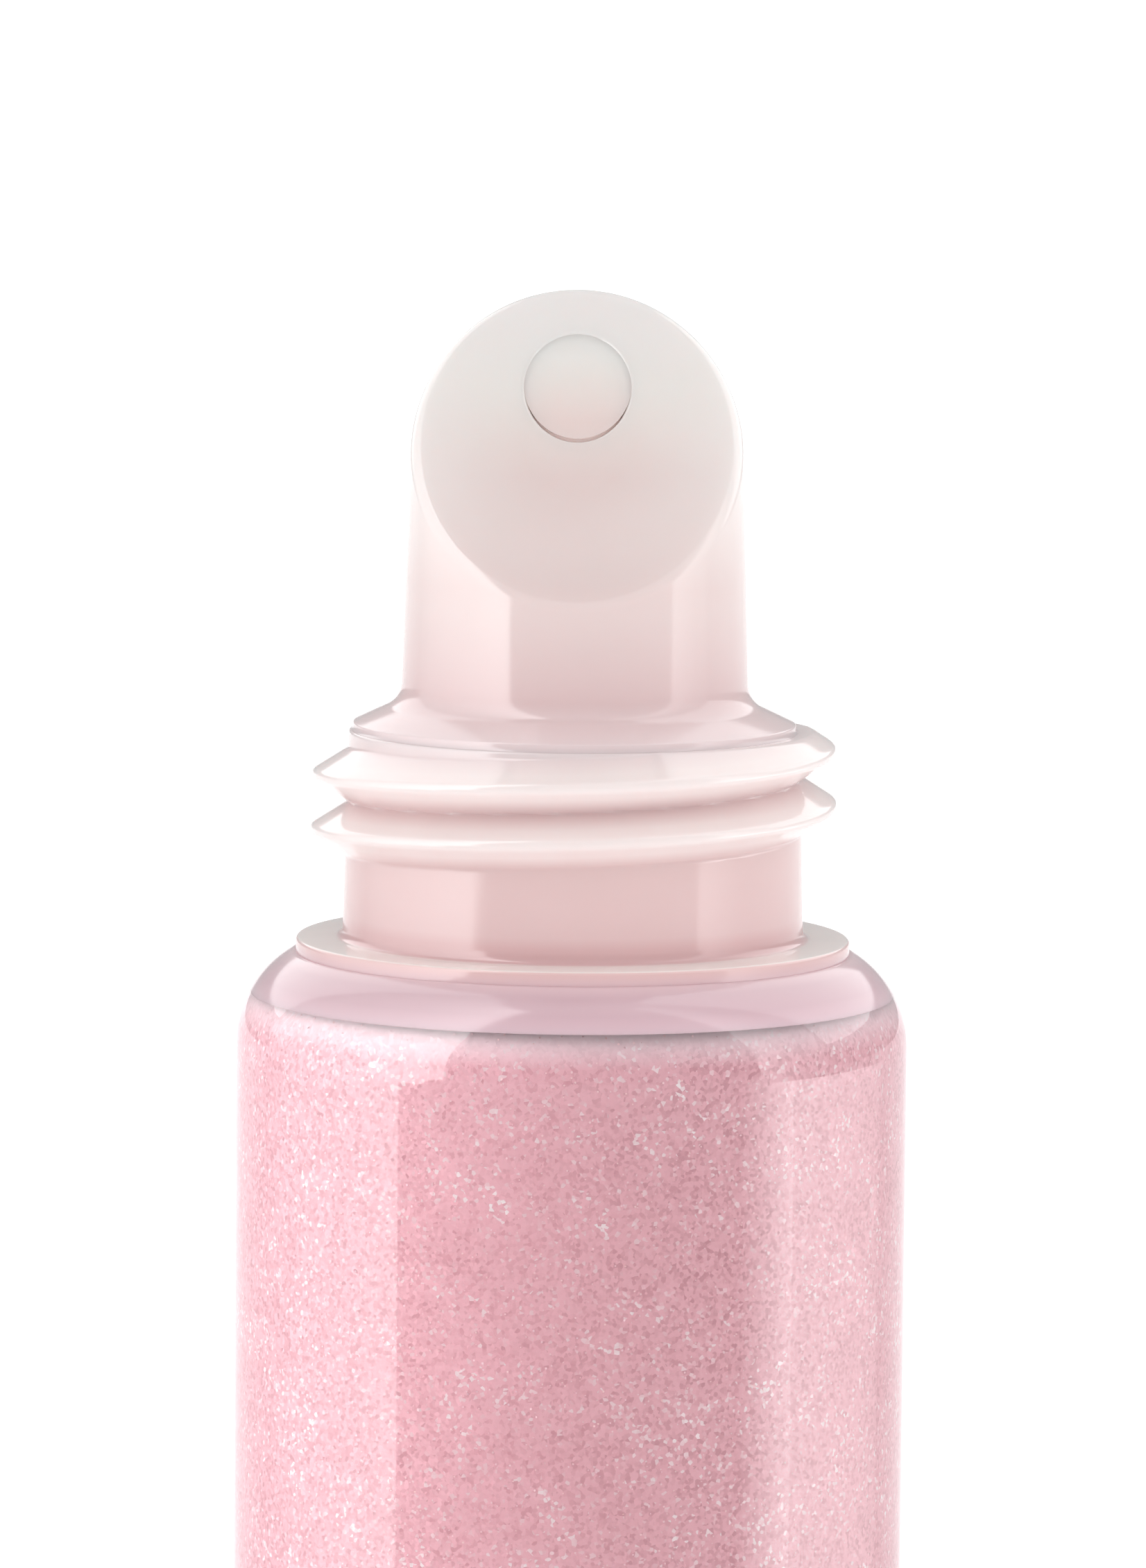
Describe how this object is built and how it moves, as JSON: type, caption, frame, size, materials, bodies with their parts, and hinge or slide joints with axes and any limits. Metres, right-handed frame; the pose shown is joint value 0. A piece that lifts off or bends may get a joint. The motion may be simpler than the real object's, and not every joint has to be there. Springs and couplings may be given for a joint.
{
  "type": "lip gloss tube",
  "caption": "Clear squeeze tube of pink lip gloss with a crimped end, a threaded neck, a slanted applicator tip and a screw cap lifted off above it.",
  "frame": {"origin": "middle of the crimped end's lower edge, which the tube stands on", "axes": "+Z along the tube's axis towards the tip, -Y the way the slanted face looks, X along the flat seal"},
  "size_m": [0.0298, 0.019, 0.1186],
  "materials": {
    "clear_sleeve": "clear, glossy",
    "frosted_neck": "translucent, softly glossy",
    "milky_tip": "milky translucent, satin",
    "pink_gloss": "shimmering pink gel",
    "clear_shell": "clear, polished",
    "white_liner": "milky, satin",
    "soft_washer": "soft foam"
  },
  "bodies": {
    "tube": {"sleeve": "clear_sleeve", "neck_and_shoulder": "frosted_neck", "applicator_tip": "milky_tip", "gloss": "pink_gloss"},
    "cap_lifting": {"cap_washer": "soft_washer"},
    "cap_turning": {"cap_shell": "clear_shell", "cap_liner": "white_liner"}
  },
  "joints": [
    {"name": "cap_lift", "type": "slide", "parent": "tube", "child": "cap_lifting", "axis": [0, 0, 1], "range_m": [-0.031, 0]},
    {"name": "cap_turn", "type": "hinge", "parent": "cap_lifting", "child": "cap_turning", "pos_m": [0, 0, 0.0926], "axis": [0, 0, 1], "range_deg": [-7200, 0]}
  ],
  "couplings": [
    {"joint": "cap_lift", "follows": "cap_turn", "m_per_rad": 0.00024669}
  ]
}
